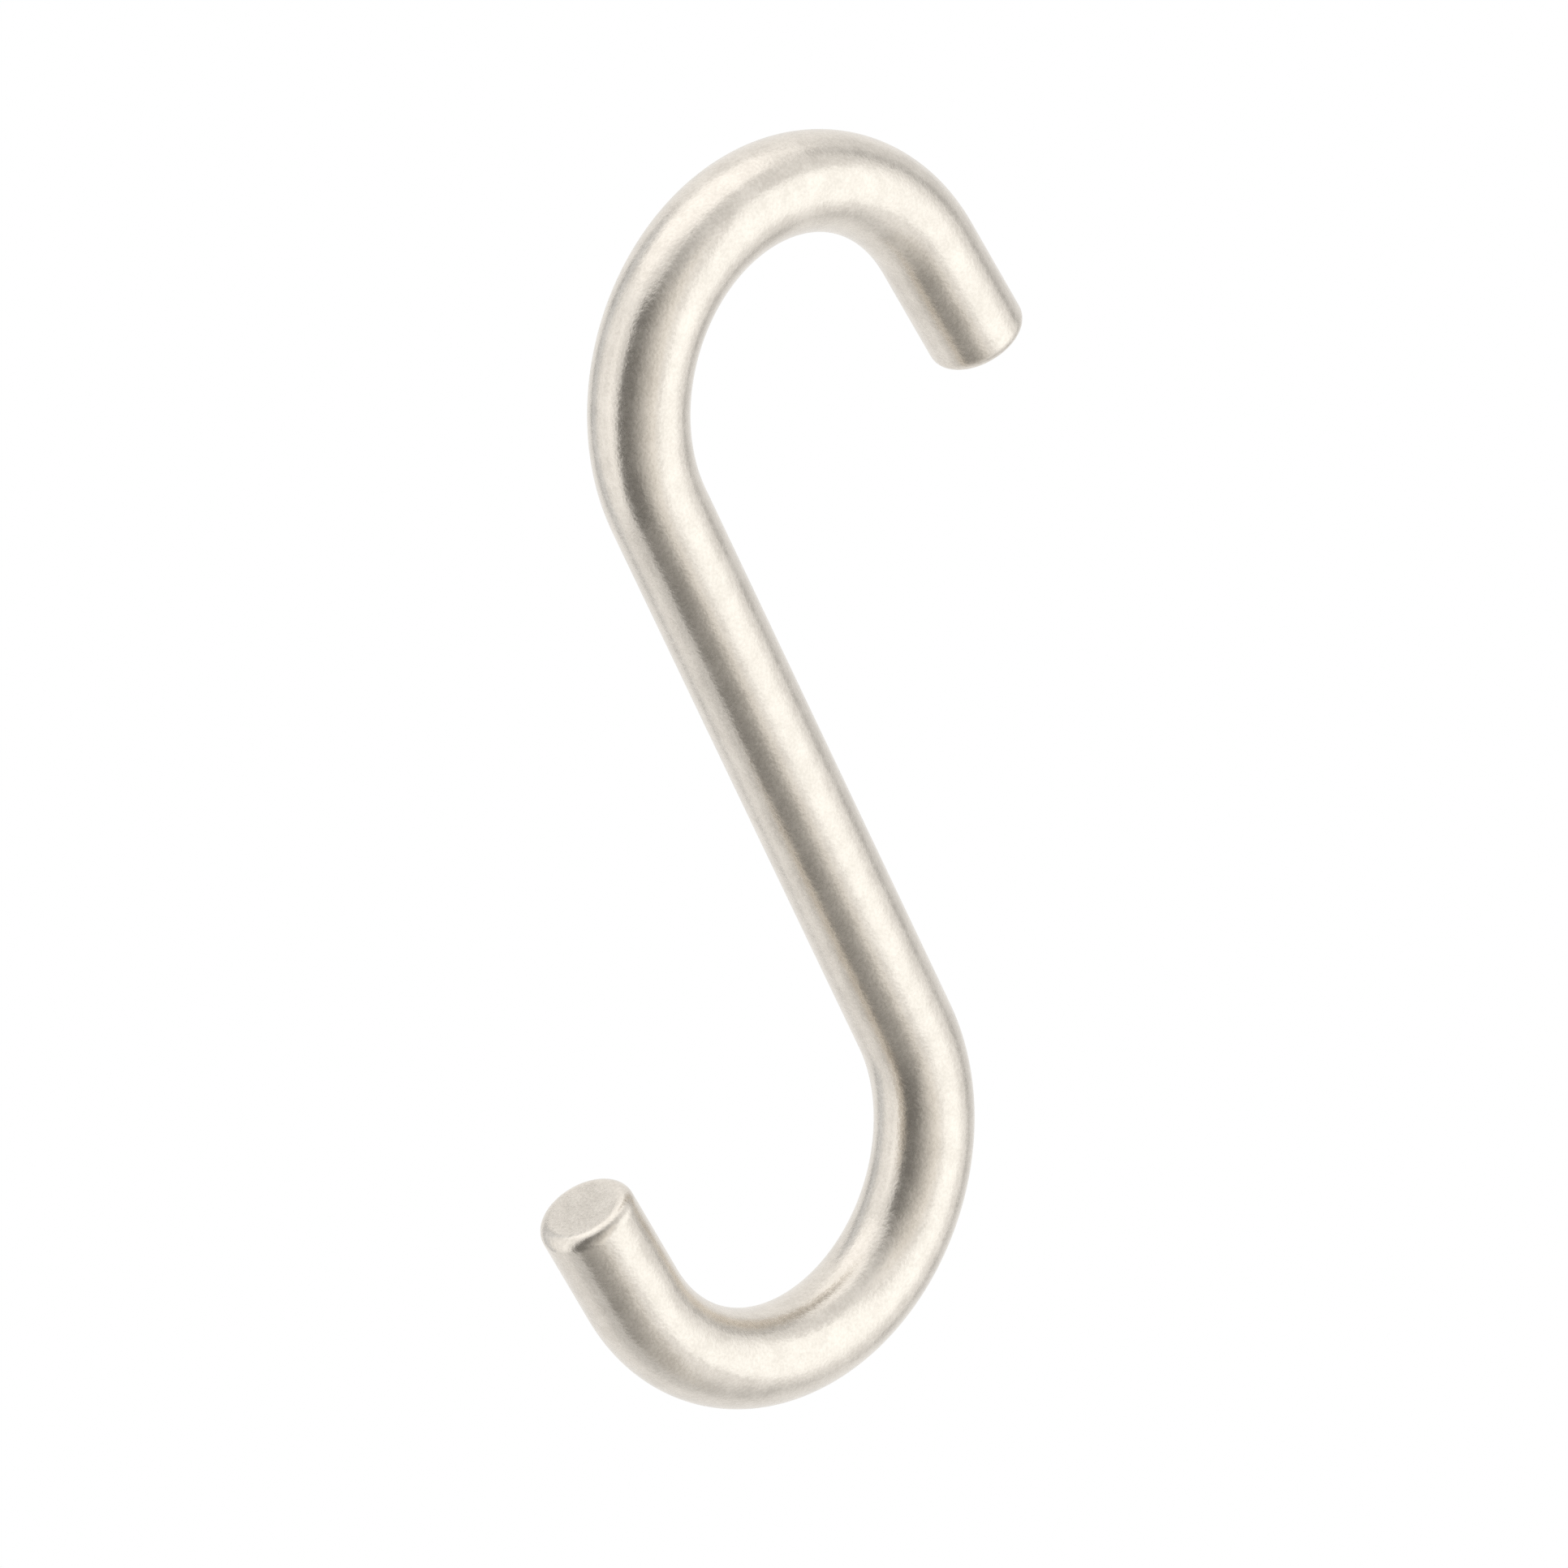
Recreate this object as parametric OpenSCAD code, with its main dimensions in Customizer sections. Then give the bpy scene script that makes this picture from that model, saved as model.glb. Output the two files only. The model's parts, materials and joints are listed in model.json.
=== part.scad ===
// S hook, bent from one length of round rod.
//
// The upper bend goes over a rail and the lower bend carries the load. Both bends lie in
// the XZ plane, so seen from -Y the hook reads as the letter S. +Z runs up the load line,
// through the middles of the two bends, which is how the hook hangs when loaded. The
// origin is the inner crown of the upper bend, where the top of the rail touches.

/* [Rod] */

// Diameter of the round rod, mm
rod_d = 6; // [3:0.5:8]
// Radius rounding the edge of each cut end, mm
end_fillet = 0.8; // [0.1:0.1:1.2]

/* [Shank] */

// Straight length between the two bends, mm
shank_len = 39.3; // [20:0.1:90]

/* [Upper hook] */

// Inner radius of the upper bend, mm
upper_inner_r = 9.1; // [5:0.1:16]
// Angle the rod turns through in the upper bend, degrees
upper_angle = 175; // [150:1:190]
// Straight end past the upper bend, mm
upper_leg = 7.5; // [2:0.1:15]

/* [Lower hook] */

// Inner radius of the lower bend, mm
lower_inner_r = 9.3; // [5:0.1:16]
// Angle the rod turns through in the lower bend, degrees
lower_angle = 176; // [150:1:190]
// Straight end past the lower bend, mm
lower_leg = 7.1; // [2:0.1:15]

/* [Hidden] */

$fn = 48;

rod_r = rod_d / 2;

// Radius of the rod's centre line round each bend
upper_bend_r = upper_inner_r + rod_r;
lower_bend_r = lower_inner_r + rod_r;

// The bends stand on opposite sides of the shank, so the load line crosses the shank at
// this angle
lean = atan2(upper_bend_r + lower_bend_r, shank_len);

// A bend is swept this much too far, then trimmed square where its straight end begins,
// degrees
overrun = 2;

// A turn's cosine and sine are kept to six digits, so most turns stretch the solid they
// turn by a few parts in ten million. Under this limit, a bend and the straight end that
// is turned to meet it still share one circle.
stretch_limit = 8e-9;
cosine_step = 1e-6;
most_steps = 1000;

// The value to six significant digits
function six_digits(x) =
    let(unit = x == 0 ? 1 : pow(10, floor(log(abs(x))) - 5))
    round(x / unit) * unit;

// How much a turn by angle "a" stretches a solid
function stretch(a) =
    abs(pow(six_digits(cos(a)), 2) + pow(six_digits(sin(a)), 2) - 1);

// The angle nearest to "a" whose turn keeps under the limit. It is within about 0.03
// degrees of "a".
function clean_turn(a) = [
    for (step = [0:most_steps], side = [1, -1])
    let(cosine = round(cos(a) / cosine_step) * cosine_step + side * step * cosine_step)
    if (cosine <= 1 && stretch(acos(cosine)) < stretch_limit)
    sign(a) * acos(cosine)
][0];

// Straight end of the rod, along +Z from the origin, with its far edge rounded.
module straight_end(leg) {
    flat_r = rod_r - end_fillet;

    rotate_extrude()
    union() {
        square([flat_r, leg]);
        square([rod_r, leg - end_fillet]);
        translate([flat_r, leg - end_fillet])
        intersection() {
            circle(r = end_fillet);
            square(end_fillet);
        }
    }
}

// One hook of the S. The rod arrives at the origin along +Z, turns towards +X through
// "angle" on a centre-line radius of "bend_r", then runs on straight for "leg".
module hook(bend_r, angle, leg) {
    turn = clean_turn(180 - angle);

    translate([bend_r, 0, 0])
    rotate([90, 0, 0])
    union() {
        difference() {
            rotate_extrude(angle = -(angle + overrun), start = 180)
            translate([bend_r, 0])
            circle(r = rod_r);

            rotate([0, 0, turn])
            translate([0, -rod_d, -rod_d])
            cube([bend_r + rod_d, rod_d, 2 * rod_d]);
        }

        rotate([0, 0, turn])
        translate([bend_r, 0, 0])
        rotate([90, 0, 0])
        straight_end(leg);
    }
}

// The whole hook: a straight shank with a hook at each end, all one bent rod.
module s_hook() {
    color([0.80, 0.78, 0.75])
    translate([0, 0, -upper_inner_r])
    rotate([0, -lean, 0])
    translate([-upper_bend_r, 0, -shank_len / 2])
    union() {
        cylinder(h = shank_len, r = rod_r, center = true);

        translate([0, 0, shank_len / 2])
        hook(upper_bend_r, upper_angle, upper_leg);

        rotate([0, 180, 0])
        translate([0, 0, shank_len / 2])
        hook(lower_bend_r, lower_angle, lower_leg);
    }
}

s_hook();
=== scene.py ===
# %% [markdown]
# # A satin nickel S hook
#
# An S hook is the simplest piece of hardware there is: one length of round steel rod with a bend at
# each end, one bend opening to the left and the other to the right. The upper bend hangs over a rail
# and the lower bend carries the load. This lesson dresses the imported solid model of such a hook: it
# draws the rod again with a finer mesh, gives it a plated metal finish, and lights it as small
# hardware is lit in a studio.
#
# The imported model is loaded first. It is the fixed frame for all that follows: whatever is made here
# goes exactly where that model already is, in metres.

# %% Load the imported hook
import json
import math

import bmesh
import bpy
from mathutils import Matrix, Vector


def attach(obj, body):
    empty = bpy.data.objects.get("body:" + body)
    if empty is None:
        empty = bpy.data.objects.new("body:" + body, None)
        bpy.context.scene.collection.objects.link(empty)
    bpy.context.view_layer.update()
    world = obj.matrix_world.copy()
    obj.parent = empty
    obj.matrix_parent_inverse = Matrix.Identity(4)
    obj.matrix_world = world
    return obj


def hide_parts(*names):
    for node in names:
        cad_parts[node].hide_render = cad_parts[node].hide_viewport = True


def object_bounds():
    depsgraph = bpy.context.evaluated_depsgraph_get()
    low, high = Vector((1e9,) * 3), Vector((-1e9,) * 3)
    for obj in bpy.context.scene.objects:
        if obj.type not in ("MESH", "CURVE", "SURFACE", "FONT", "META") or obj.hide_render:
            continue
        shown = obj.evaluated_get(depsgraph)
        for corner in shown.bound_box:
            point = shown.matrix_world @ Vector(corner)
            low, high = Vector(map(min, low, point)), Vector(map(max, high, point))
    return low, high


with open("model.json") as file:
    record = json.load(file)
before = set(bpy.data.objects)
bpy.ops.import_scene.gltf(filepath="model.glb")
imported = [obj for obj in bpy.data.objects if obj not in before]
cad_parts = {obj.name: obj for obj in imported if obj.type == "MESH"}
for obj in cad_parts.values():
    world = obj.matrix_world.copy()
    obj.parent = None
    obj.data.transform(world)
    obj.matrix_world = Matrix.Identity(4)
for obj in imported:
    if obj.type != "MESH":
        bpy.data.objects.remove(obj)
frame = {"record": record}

cad_low, cad_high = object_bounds()
cad_size = cad_high - cad_low
print("The packed hook measures", [round(1000 * side, 2) for side in cad_size], "mm")

# %% [markdown]
# ## The sizes of the hook
#
# The hook could be drawn from a list of typed numbers, but then a changed model would no longer fit
# its dressing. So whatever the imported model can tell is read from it. The hook lies flat in the plane
# of X and Z, so its thickness in Y is the thickness of the rod. The record names two seats: the place
# on the rail and the place of the load. Each seat gives the inner radius of its bend.
#
# The straight shank touches both bends as a belt crossed between two pulleys would, so its length and
# its lean follow from the two radii and the distance between the bends.

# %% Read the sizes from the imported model
MM = 0.001
rod_radius = cad_size.y / 2
seats = {mount["name"]: mount for mount in frame["record"]["mounts"]}
upper_inner_radius = seats["rail_seat"]["dims"]["r_mm"] * MM
lower_inner_radius = seats["load_seat"]["dims"]["r_mm"] * MM
upper_radius = upper_inner_radius + rod_radius
lower_radius = lower_inner_radius + rod_radius
upper_centre = Vector((0, 0, seats["rail_seat"]["pos_m"][2] - upper_inner_radius))
lower_centre = Vector((0, 0, seats["load_seat"]["pos_m"][2] + lower_inner_radius))
centre_gap = (upper_centre - lower_centre).length
shank_length = math.sqrt(centre_gap ** 2 - (upper_radius + lower_radius) ** 2)
lean = math.atan2(upper_radius + lower_radius, shank_length)
print("Rod", round(2000 * rod_radius, 2), "mm, shank", round(1000 * shank_length, 2), "mm long,",
      "leaning", round(math.degrees(lean), 2), "degrees")

# %% [markdown]
# The seats don't tell how far each bend turns, how long the straight ends are or how much the rims are
# rounded. These five sizes are typed in, as they stand in the drawing of the solid.

# %% Sizes that only a maker's drawing would give
upper_angle = math.radians(175)
lower_angle = math.radians(176)
upper_leg = 7.5 * MM
lower_leg = 7.1 * MM
end_round = 0.8 * MM
print("The bends turn by", round(math.degrees(upper_angle)), "and", round(math.degrees(lower_angle)),
      "degrees, and the rims are rounded to", round(1000 * end_round, 2), "mm")

# %% [markdown]
# ## Bending the rod
#
# A real S hook starts as a straight rod. It is cut to length, its sharp rims are rounded off, and it
# is bent round one pin and then, the other way, round a second pin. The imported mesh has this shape
# already, but satin metal shows each of its facets as a break in the streaks, so the rod is drawn
# again with 96 sides. A curve with a round bevel could draw it, but would give no control over the
# ends. A mesh that is drawn out step by step follows the work of the bending machine: a disc is the
# cut face of the rod, `spin` with an angle bends it round a pin, and `spin` with a shift and no angle
# draws it out straight.
#
# Two directions are used throughout. `up_shank` points up along the leaning shank, and `out_shank`
# points across it, in the plane of the hook.

# %% Directions and the places where straight and bend meet
up_shank = Vector((-math.sin(lean), 0, math.cos(lean)))
out_shank = Vector((math.cos(lean), 0, math.sin(lean)))
across = Vector((0, 1, 0))


def on_bend(angle):
    """Direction of travel after a bend has turned by this angle from the shank."""
    return math.sin(angle) * out_shank + math.cos(angle) * up_shank


def on_rim(angle):
    """Direction from a bend's centre to the rod, this angle after the shank."""
    return math.sin(angle) * up_shank - math.cos(angle) * out_shank


upper_tip = upper_centre + upper_radius * on_rim(upper_angle) + upper_leg * on_bend(upper_angle)
lower_tip = lower_centre - lower_radius * on_rim(lower_angle) - lower_leg * on_bend(lower_angle)
print("Upper tip at", [round(1000 * v, 2) for v in upper_tip], "mm")
print("Lower tip at", [round(1000 * v, 2) for v in lower_tip], "mm")

# %% The cut face of the rod
ROD_SIDES = 96
hook_mesh = bmesh.new()
first_way = -on_bend(upper_angle)
face_axes = Matrix((across.cross(first_way), across, first_way)).transposed().to_4x4()
bmesh.ops.create_circle(
    hook_mesh,
    cap_ends=True,
    segments=ROD_SIDES,
    radius=rod_radius,
    matrix=Matrix.Translation(upper_tip) @ face_axes,
)
end_faces = list(hook_mesh.faces)
print("The rod starts as a disc with", ROD_SIDES, "sides")

# %% [markdown]
# The next cell holds the only two moves that the rod needs. Each takes the disc at the rod's end and
# gives back the disc at its new end. A straight run is cut into short steps as well, so that the
# shading of a bend can't creep along the whole length of the shank.

# %% Draw the rod out straight, and bend it round a pin


def draw_out(mesh, disc, way, length, steps):
    """Draws the rod out in a straight line and returns the disc at its new end."""
    made = bmesh.ops.spin(
        mesh,
        geom=disc,
        cent=(0, 0, 0),
        axis=(0, 1, 0),
        dvec=way * (length / steps),
        angle=0,
        steps=steps,
        use_duplicate=False,
    )
    return made["geom_last"]


def bend_round(mesh, disc, pin, angle, steps):
    """Bends the rod round a pin that stands along Y and returns the disc at its new end."""
    made = bmesh.ops.spin(
        mesh,
        geom=disc,
        cent=pin,
        axis=(0, 1, 0),
        angle=angle,
        steps=steps,
        use_duplicate=False,
    )
    return made["geom_last"]


# %% [markdown]
# Now the rod is followed from one tip to the other. Beside the place of each rim a narrow band of
# faces is left. It holds the smooth shading of the rim's round back from the long straight faces.

# %% Follow the rod from the upper tip to the lower tip
BEND_STEPS = 88
SHANK_STEPS = 40
LEG_STEPS = 8
HOLDING_BAND = 0.1 * MM
rim_length = end_round + HOLDING_BAND
disc = end_faces + list(hook_mesh.edges) + list(hook_mesh.verts)
disc = draw_out(hook_mesh, disc, first_way, rim_length, 1)
disc = draw_out(hook_mesh, disc, first_way, upper_leg - rim_length, LEG_STEPS)
disc = bend_round(hook_mesh, disc, upper_centre, -upper_angle, BEND_STEPS)
disc = draw_out(hook_mesh, disc, -up_shank, shank_length, SHANK_STEPS)
disc = bend_round(hook_mesh, disc, lower_centre, lower_angle, BEND_STEPS)
last_way = -on_bend(lower_angle)
disc = draw_out(hook_mesh, disc, last_way, lower_leg - rim_length, LEG_STEPS)
draw_out(hook_mesh, disc, last_way, rim_length, 1)
print("Rod drawn:", len(hook_mesh.faces), "faces")

# %% [markdown]
# ## Rounding the ends
#
# A sawn rod has a sharp rim, which would scratch a rail and a hand, so both rims are turned or
# tumbled to a small radius. The bevel follows that: it takes the edges between each flat end and the
# round side. Inside the round a narrow ring is inset on the flat, which keeps the flat looking flat.

# %% Round both rims
RIM_STEPS = 10
flat_ends = [face for face in hook_mesh.faces if len(face.verts) == ROD_SIDES]
rims = [edge for face in flat_ends for edge in face.edges]
bmesh.ops.bevel(
    hook_mesh,
    geom=rims,
    affect="EDGES",
    offset=end_round,
    offset_type="OFFSET",
    segments=RIM_STEPS,
    profile=0.5,
    material=-1,
    clamp_overlap=True,
)
flat_ends = [face for face in hook_mesh.faces if len(face.verts) == ROD_SIDES]
bmesh.ops.inset_region(
    hook_mesh,
    faces=flat_ends,
    thickness=HOLDING_BAND,
    use_even_offset=True,
)
print("Flat ends:", len(flat_ends), "of", round(2000 * (rod_radius - end_round), 1), "mm across")

# %% [markdown]
# Last, corners that lie in the same place are merged, each face is turned outwards and the shading is
# made smooth. The count of open edges has to be 0, because steel rod is solid. The mesh then becomes
# an object that rides on the hook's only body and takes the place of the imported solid.

# %% Close, turn outwards and shade smooth
SAME_PLACE = 0.00001 * MM
bmesh.ops.remove_doubles(hook_mesh, verts=hook_mesh.verts, dist=SAME_PLACE)
bmesh.ops.recalc_face_normals(hook_mesh, faces=hook_mesh.faces)
for face in hook_mesh.faces:
    face.smooth = True
open_edges = [edge for edge in hook_mesh.edges if not edge.is_manifold]
volume = hook_mesh.calc_volume(signed=True)
print("Open edges:", len(open_edges), " volume:", round(volume * 1e9, 1), "cubic mm")

hook_data = bpy.data.meshes.new("bent_rod")
hook_mesh.to_mesh(hook_data)
hook_mesh.free()
bent_rod = bpy.data.objects.new("bent_rod", hook_data)
bpy.context.scene.collection.objects.link(bent_rod)
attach(bent_rod, "root")
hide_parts("s_hook")

# %% [markdown]
# ## Satin nickel
#
# The rod is mild steel that was blasted with fine grit and then plated with nickel, with no polishing
# after that. The eye gets a warm grey metal that mirrors its surroundings only as soft streaks of
# light and dark, under a fine even grain. A flat grey with a glossy coat would give sharp streaks
# and no grain, so the grit is drawn as what it is: many small dents, which turn the surface a little
# to and fro, and which leave some spots a touch duller and paler than others. A mirror has a roughness
# of 0 and chalk one of 1. Satin plating is usually near 0.3, and this one lies a little below that.
#
# First come two helpers. One turns a colour as a designer writes it into the numbers that Blender
# works with, and one adds a node with its options, its values and its links.

# %% Helpers for materials


def linear(hex_colour):
    """An sRGB colour such as #E5DED4 as linear red, green, blue and alpha."""
    shares = [int(hex_colour[place:place + 2], 16) / 255 for place in (1, 3, 5)]
    return [s / 12.92 if s <= 0.04045 else ((s + 0.055) / 1.055) ** 2.4 for s in shares] + [1]


def add_node(tree, kind, settings=None, values=None, links=None):
    """Adds one node: settings are its options, values its sockets, links the sockets that feed it."""
    node = tree.nodes.new(kind)
    for name, value in (settings or {}).items():
        setattr(node, name, value)
    for name, value in (values or {}).items():
        node.inputs[name].default_value = value
    for name, source in (links or {}).items():
        tree.links.new(source, node.inputs[name])
    return node


# %% [markdown]
# Blasting grit leaves dents about 0.05 mm across. Seen from a metre away they melt into each other,
# so the dents are drawn coarser here, at 0.2 mm, which is the finest grain that shows. A second, much
# wider pattern stands for the plating bath, where the layer grows a little unevenly over a millimetre
# or two. Both read the object's own coordinates, so the grain stays on the metal whatever the view is.
#
# Each pattern works twice. As bumps, the two tilt the surface a little to and fro, which breaks up the
# edges of the streaks. Added together, they say how hard each spot was hit: a spot that was hit harder
# is paler and duller. Either pattern swings round one half, so their sum swings round one, and the
# part of that swing that is used lies evenly to both sides. The metal keeps Blender's usual index of
# refraction.

# %% Satin nickel plating
GRIT = 0.20 * MM
CLOUD = 1.5 * MM
DENT_DEPTH = 0.010 * MM
CLOUD_DEPTH = 0.018 * MM
LEAST_HIT = 0.72
MOST_HIT = 1.28
SMOOTHEST = 0.245
DULLEST = 0.295
DARKER_NICKEL = "#D7D0C6"
PALER_NICKEL = "#E8E1D7"
nickel = bpy.data.materials.new("satin_nickel_plated_steel")
nickel.use_nodes = True
nickel_tree = nickel.node_tree
nickel_tree.nodes.clear()
on_rod = add_node(nickel_tree, "ShaderNodeTexCoord")
dents = add_node(
    nickel_tree,
    "ShaderNodeTexNoise",
    values={"Scale": 1 / GRIT, "Detail": 1.0, "Roughness": 0.5},
    links={"Vector": on_rod.outputs["Object"]},
)
clouds = add_node(
    nickel_tree,
    "ShaderNodeTexNoise",
    values={"Scale": 1 / CLOUD, "Detail": 2.0, "Roughness": 0.5},
    links={"Vector": on_rod.outputs["Object"]},
)
uneven = add_node(
    nickel_tree,
    "ShaderNodeBump",
    values={"Strength": 1.0, "Distance": CLOUD_DEPTH},
    links={"Height": clouds.outputs["Fac"]},
)
dented = add_node(
    nickel_tree,
    "ShaderNodeBump",
    values={"Strength": 1.0, "Distance": DENT_DEPTH},
    links={"Height": dents.outputs["Fac"], "Normal": uneven.outputs["Normal"]},
)
mottle = add_node(
    nickel_tree,
    "ShaderNodeMath",
    {"operation": "ADD"},
    links={0: dents.outputs["Fac"], 1: clouds.outputs["Fac"]},
)
paleness = add_node(
    nickel_tree,
    "ShaderNodeMapRange",
    values={"From Min": LEAST_HIT, "From Max": MOST_HIT},
    links={"Value": mottle.outputs["Value"]},
)
tint = add_node(nickel_tree, "ShaderNodeValToRGB", links={"Fac": paleness.outputs["Result"]})
tint.color_ramp.elements[0].color = linear(DARKER_NICKEL)
tint.color_ramp.elements[1].color = linear(PALER_NICKEL)
dullness = add_node(
    nickel_tree,
    "ShaderNodeMapRange",
    values={"To Min": SMOOTHEST, "To Max": DULLEST},
    links={"Value": paleness.outputs["Result"]},
)
metal = add_node(
    nickel_tree,
    "ShaderNodeBsdfPrincipled",
    values={"Metallic": 1.0},
    links={
        "Base Color": tint.outputs["Color"],
        "Roughness": dullness.outputs["Result"],
        "Normal": dented.outputs["Normal"],
    },
)
add_node(nickel_tree, "ShaderNodeOutputMaterial", links={"Surface": metal.outputs["BSDF"]})
bent_rod.data.materials.append(nickel)
print("Satin nickel has", len(nickel_tree.nodes), "nodes and a grain of", round(1000 * GRIT, 2), "mm")

# %% [markdown]
# ## A white room
#
# Metal has hardly a colour of its own: what the eye sees on it is the room. Satin metal is therefore
# lit in a plain white room, with a few cards and lamps that put the streaks where they tell the most
# about the form. The room itself is a white world of strength 1, which is the level of white paper.

# %% White surroundings
ROOM_LEVEL = 1.0
room = bpy.data.worlds.new("white_room")
bpy.context.scene.world = room
room.use_nodes = True
room_tree = room.node_tree
room_tree.nodes.clear()
white = add_node(
    room_tree,
    "ShaderNodeBackground",
    values={"Color": linear("#FFFFFF"), "Strength": ROOM_LEVEL},
)
add_node(room_tree, "ShaderNodeOutputWorld", links={"Surface": white.outputs["Background"]})
print("The room is white, at a level of", ROOM_LEVEL)

# %% [markdown]
# Each card and lamp stands some way from the hook's middle and faces it. Its place is given as the
# hook sees it: an azimuth of 0 is in front, 90 is to the right, and the elevation goes up from the
# horizon. A tilt turns it as a picture that hangs askew. One helper makes a place and a turn of these
# for anything flat, so no lamp or card has to be placed by hand.

# %% Where a flat thing stands
hook_middle = (cad_low + cad_high) / 2
print("Lamps and cards face", [round(1000 * side, 2) for side in hook_middle], "mm")


def facing(azimuth, elevation, distance, tilt):
    """Place and turn of a flat thing that stands this way from the hook, faces it and is tilted."""
    round_hook, above_hook = math.radians(azimuth), math.radians(elevation)
    outwards = Vector((
        math.sin(round_hook) * math.cos(above_hook),
        -math.cos(round_hook) * math.cos(above_hook),
        math.sin(above_hook),
    ))
    level_side = Vector((math.cos(round_hook), math.sin(round_hook), 0))
    sideways = Matrix.Rotation(math.radians(tilt), 3, outwards) @ level_side
    turn = Matrix((sideways, outwards.cross(sideways), outwards)).transposed().to_4x4()
    return Matrix.Translation(hook_middle + outwards * distance) @ turn


# %% [markdown]
# A lamp is an area lamp. Its light adds to the white room behind it, so its level is how much
# brighter than the room its patch of the reflections becomes. The key lamp stands in front on the
# right and draws the broad light streak down the rod. The top lamp is a long strip overhead, which
# lights the tops of both bends. The key lamp's light is a touch cooler than the room's, which keeps
# the brightest part of the streak from turning pink where it nearly reaches white.

# %% Lamps
PLAIN_LIGHT = (1, 1, 1)
COOLER_LIGHT = (0.95, 1, 1.01)


def soft_lamp(
    name,
    azimuth,
    elevation,
    distance,
    width,
    height,
    level,
    tilt=0,
    colour=PLAIN_LIGHT,
):
    """An area lamp, in metres. A level of 1 is as bright as white paper in the room."""
    lamp_data = bpy.data.lights.new(name, "AREA")
    lamp_data.shape = "RECTANGLE"
    lamp_data.size = width
    lamp_data.size_y = height
    lamp_data.energy = level * math.pi * width * height
    lamp_data.color = colour
    lamp = bpy.data.objects.new(name, lamp_data)
    lamp.matrix_world = facing(azimuth, elevation, distance, tilt)
    bpy.context.scene.collection.objects.link(lamp)
    print(name, "gives", round(lamp_data.energy, 2), "watts")


soft_lamp(
    "key_lamp",
    azimuth=32.5,
    elevation=2.0,
    distance=0.62,
    width=0.511,
    height=0.851,
    level=0.405,
    tilt=-7.6,
    colour=COOLER_LIGHT,
)
soft_lamp(
    "top_lamp",
    azimuth=57.9,
    elevation=89.3,
    distance=0.62,
    width=0.545,
    height=1.750,
    level=0.374,
)

# %% [markdown]
# A real card is lit by the room. Here it gives its own even light instead, so that it has the same
# shade in each reflection, and it is hidden from the camera, as a card is kept out of the view in a
# studio. Its shade may run from its left edge over its middle to its right edge, as a bent card's
# does. A shade can be above 1 and a node's colour can't, so the colour holds half the shade and the
# glow doubles it. The light of a card isn't sampled as a lamp's is, because it is about as bright as
# the room.
#
# Cards are covered with cloth. Beside the neutral one there is a warm one for the dark flags, because
# a dark streak in nickel looks brownish, and a slightly cool one for the card behind, which shows only
# along the rod's edges, where metal seen at a slant loses its own warmth.

# %% Cards
CARD_GLOW = 2.0
NEUTRAL_CLOTH = (1, 1, 1)
WARM_CLOTH = (1.024, 1, 0.960)
COOL_CLOTH = (0.975, 1, 1.035)


def studio_card(
    name,
    azimuth,
    elevation,
    distance,
    width,
    height,
    shades,
    middle=0.5,
    tilt=0,
    colour=NEUTRAL_CLOTH,
):
    """A card that only reflections show. shades are its levels at the left, middle and right."""
    card_mesh = bmesh.new()
    bmesh.ops.create_grid(card_mesh, x_segments=1, y_segments=1, size=1)
    bmesh.ops.scale(card_mesh, vec=(width / 2, height / 2, 1), verts=card_mesh.verts)
    card_data = bpy.data.meshes.new(name)
    card_mesh.to_mesh(card_data)
    card_mesh.free()
    card = bpy.data.objects.new(name, card_data)
    card.matrix_world = facing(azimuth, elevation, distance, tilt)
    card.visible_camera = False
    bpy.context.scene.collection.objects.link(card)
    cloth = bpy.data.materials.new(name + "_cloth")
    cloth.use_nodes = True
    cloth.cycles.emission_sampling = "NONE"
    card_tree = cloth.node_tree
    card_tree.nodes.clear()
    on_card = add_node(card_tree, "ShaderNodeTexCoord")
    sides = add_node(card_tree, "ShaderNodeSeparateXYZ", links={"Vector": on_card.outputs["Object"]})
    share = add_node(
        card_tree,
        "ShaderNodeMapRange",
        values={"From Min": -width / 2, "From Max": width / 2},
        links={"Value": sides.outputs["X"]},
    )
    shading = add_node(card_tree, "ShaderNodeValToRGB", links={"Fac": share.outputs["Result"]})
    shading.color_ramp.elements.new(middle)
    for stop, place, shade in zip(shading.color_ramp.elements, (0, middle, 1), shades):
        stop.position = place
        stop.color = [channel * shade / CARD_GLOW for channel in colour] + [1]
    glow = add_node(
        card_tree,
        "ShaderNodeEmission",
        values={"Strength": CARD_GLOW},
        links={"Color": shading.outputs["Color"]},
    )
    add_node(card_tree, "ShaderNodeOutputMaterial", links={"Surface": glow.outputs["Emission"]})
    card_data.materials.append(cloth)
    print(name, "is", round(1000 * width), "by", round(1000 * height), "mm, with shades", shades)
    return card


# %% [markdown]
# A white room alone would leave the rod pale all over. The dark flag is the card that matters most: it
# stands in front on the left, reaches almost down to the floor, and gives the one dark streak that
# shows the rod to be round. A lower and smaller flag carries that streak round the lower bend.

# %% Dark flags in front on the left
studio_card(
    "dark_flag",
    azimuth=-45.2,
    elevation=-8.4,
    distance=0.50,
    width=0.902,
    height=1.098,
    shades=(0.132, 0.232, 1.143),
    middle=0.377,
    colour=WARM_CLOTH,
)
studio_card(
    "low_flag",
    azimuth=-31.5,
    elevation=-60.7,
    distance=0.46,
    width=0.510,
    height=0.343,
    shades=(0.133, 0.384, 0.794),
    tilt=-22.0,
    colour=WARM_CLOTH,
)

# %% [markdown]
# The next cards are greys at the two sides. They draw a soft edge down each side of the rod, which
# would melt into the white background without them. The left one is brightest at its front end, so
# that the band beside the dark streak stays light.

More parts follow.
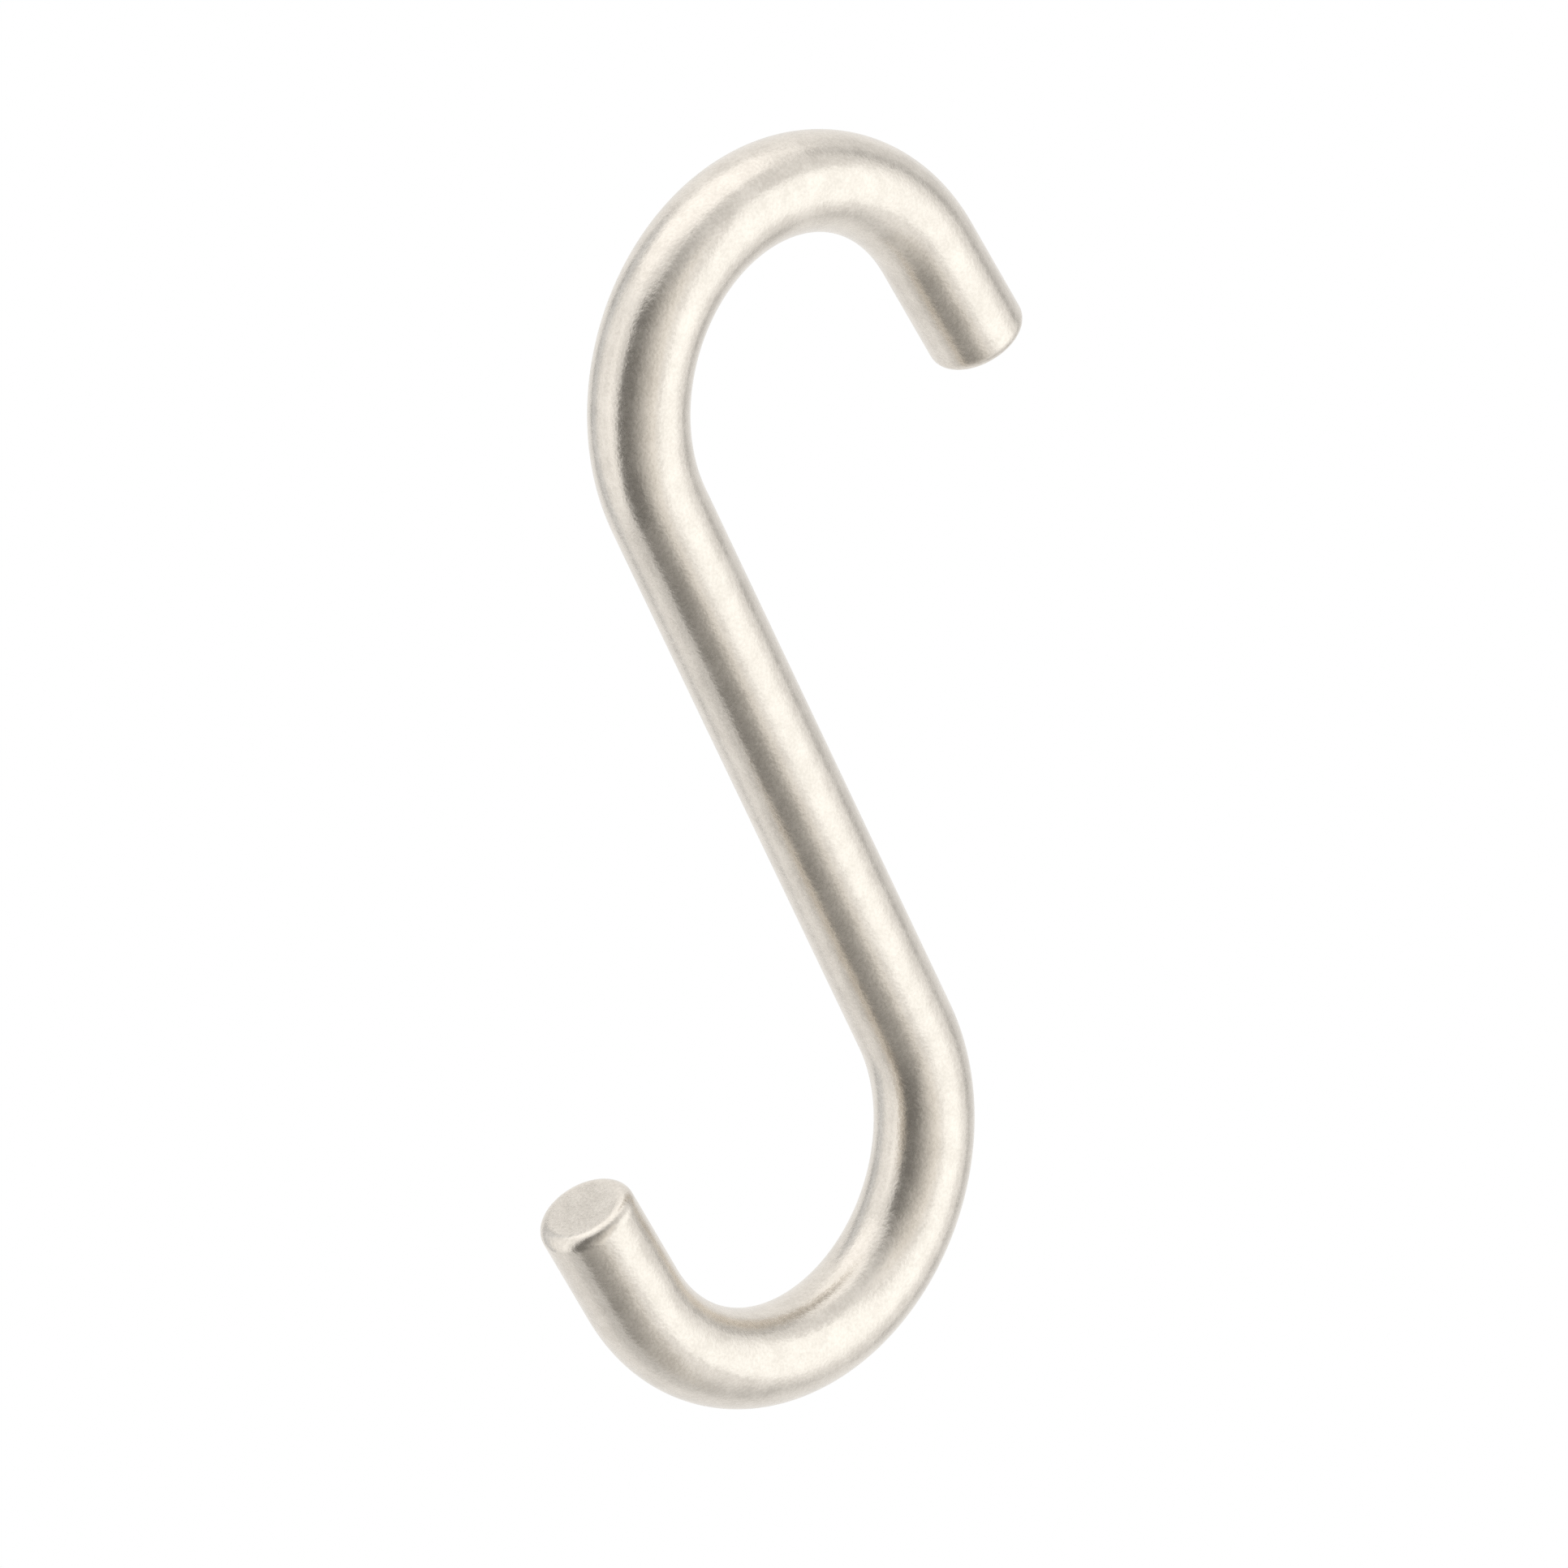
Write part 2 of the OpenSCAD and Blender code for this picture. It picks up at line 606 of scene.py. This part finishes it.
# %% Cards on the left and on the right
studio_card(
    "left_card",
    azimuth=-120.1,
    elevation=-9.1,
    distance=0.60,
    width=0.338,
    height=0.861,
    shades=(1.223, 0.957, 1.538),
)
studio_card(
    "grey_card",
    azimuth=93.3,
    elevation=18.2,
    distance=0.55,
    width=0.368,
    height=1.664,
    shades=(0.334, 0.868, 0.834),
)

# %% [markdown]
# The last cards keep the bends from burning out. One stands behind, one hangs in front like a raised
# brow and greys the tops of the bends, and one lies low on the right. Paint on a floor would catch the
# low card's shadow, so that card neither shades nor lights anything matt.

# %% Cards behind, above and below
studio_card(
    "rear_card",
    azimuth=-161.1,
    elevation=-0.5,
    distance=0.50,
    width=0.207,
    height=0.951,
    shades=(0.107, 0.972, 0.457),
    colour=COOL_CLOTH,
)
studio_card(
    "brow_card",
    azimuth=9.6,
    elevation=54.2,
    distance=0.56,
    width=1.120,
    height=0.343,
    shades=(0.407, 0.901, 0.956),
)
low_card = studio_card(
    "low_card",
    azimuth=64.9,
    elevation=-82.7,
    distance=0.66,
    width=0.639,
    height=1.148,
    shades=(1.200, 0.642, 1.021),
)
low_card.visible_diffuse = False
low_card.visible_shadow = False

# %% [markdown]
# ## The floor
#
# The hook hangs well above a plain pale floor, far enough down that its shadow falls as one soft
# patch. The paint of the floor is an ordinary matt white. Where the camera or a reflection looks at
# it, it is lifted a little, so that it meets the white room without an edge, but the lift lights
# nothing, and the hook's shadow stays on it.

# %% Floor
FLOOR_DEPTH = 0.8
FLOOR_RADIUS = 1.2
FLOOR_SIDES = 128
floor_mesh = bmesh.new()
bmesh.ops.create_circle(
    floor_mesh,
    cap_ends=True,
    segments=FLOOR_SIDES,
    radius=FLOOR_RADIUS,
    matrix=Matrix.Translation((0, 0, -FLOOR_DEPTH)),
)
floor_data = bpy.data.meshes.new("floor")
floor_mesh.to_mesh(floor_data)
floor_mesh.free()
floor = bpy.data.objects.new("floor", floor_data)
bpy.context.scene.collection.objects.link(floor)
print("Floor", 2 * FLOOR_RADIUS, "m across,", FLOOR_DEPTH, "m below the seat on the rail")

# %% Matt white floor paint
FLOOR_WHITE = "#F0F0F0"
FLOOR_LIFT = 0.1
floor_paint = bpy.data.materials.new("matt_white_floor_paint")
floor_paint.use_nodes = True
floor_paint.cycles.emission_sampling = "NONE"
floor_tree = floor_paint.node_tree
floor_tree.nodes.clear()
looker = add_node(floor_tree, "ShaderNodeLightPath")
seen_or_mirrored = add_node(
    floor_tree,
    "ShaderNodeMath",
    {"operation": "MAXIMUM"},
    links={0: looker.outputs["Is Camera Ray"], 1: looker.outputs["Is Glossy Ray"]},
)
seen_at_all = add_node(
    floor_tree,
    "ShaderNodeMath",
    {"operation": "MAXIMUM"},
    links={0: seen_or_mirrored.outputs["Value"], 1: looker.outputs["Is Transmission Ray"]},
)
lift = add_node(
    floor_tree,
    "ShaderNodeMath",
    {"operation": "MULTIPLY"},
    values={1: FLOOR_LIFT},
    links={0: seen_at_all.outputs["Value"]},
)
matt_white = add_node(floor_tree, "ShaderNodeBsdfDiffuse", values={"Color": linear(FLOOR_WHITE)})
lifted = add_node(floor_tree, "ShaderNodeEmission", links={"Strength": lift.outputs["Value"]})
paint_and_lift = add_node(
    floor_tree,
    "ShaderNodeAddShader",
    links={0: matt_white.outputs["BSDF"], 1: lifted.outputs["Emission"]},
)
add_node(floor_tree, "ShaderNodeOutputMaterial", links={"Surface": paint_and_lift.outputs["Shader"]})
floor_data.materials.append(floor_paint)
print("The floor's paint is", FLOOR_WHITE, "and is lifted by", FLOOR_LIFT)

# %% [markdown]
# ## The camera
#
# The camera looks at the hook from the front left and from a little above, so that both tips show:
# the upper one from its back and the lower one with its flat end. It stands about a metre away with
# a long lens, which keeps the near and the far bend at almost the same size, and it is rolled by
# about two degrees. There is no depth of field and no shift.

# %% Camera
camera_azimuth = math.radians(-41.135)
camera_elevation = math.radians(12.469)
camera_roll = math.radians(2.2645)
camera_distance = 1.04939
camera_aim = Vector((0.00003, -0.00020, -0.03294))
away = Vector((
    math.sin(camera_azimuth) * math.cos(camera_elevation),
    -math.cos(camera_azimuth) * math.cos(camera_elevation),
    math.sin(camera_elevation),
))
level_right = Vector((0, 0, 1)).cross(away).normalized()
upright = away.cross(level_right)
camera_right = math.cos(camera_roll) * level_right + math.sin(camera_roll) * upright
camera_up = away.cross(camera_right)
camera_turn = Matrix((camera_right, camera_up, away)).transposed().to_4x4()

camera_data = bpy.data.cameras.new("camera")
camera_data.lens = 410.7
camera_data.sensor_width = 36
camera_data.clip_start = 0.01
camera_data.clip_end = 50
camera = bpy.data.objects.new("camera", camera_data)
camera.matrix_world = Matrix.Translation(camera_aim + camera_distance * away) @ camera_turn
bpy.context.scene.collection.objects.link(camera)
bpy.context.scene.camera = camera
print("Camera at", [round(1000 * side) for side in camera.matrix_world.translation], "mm")

# %% [markdown]
# ## Colour
#
# The plain Standard transform shows each colour as it is written.

# %% Plain colour
bpy.context.scene.view_settings.view_transform = "Standard"
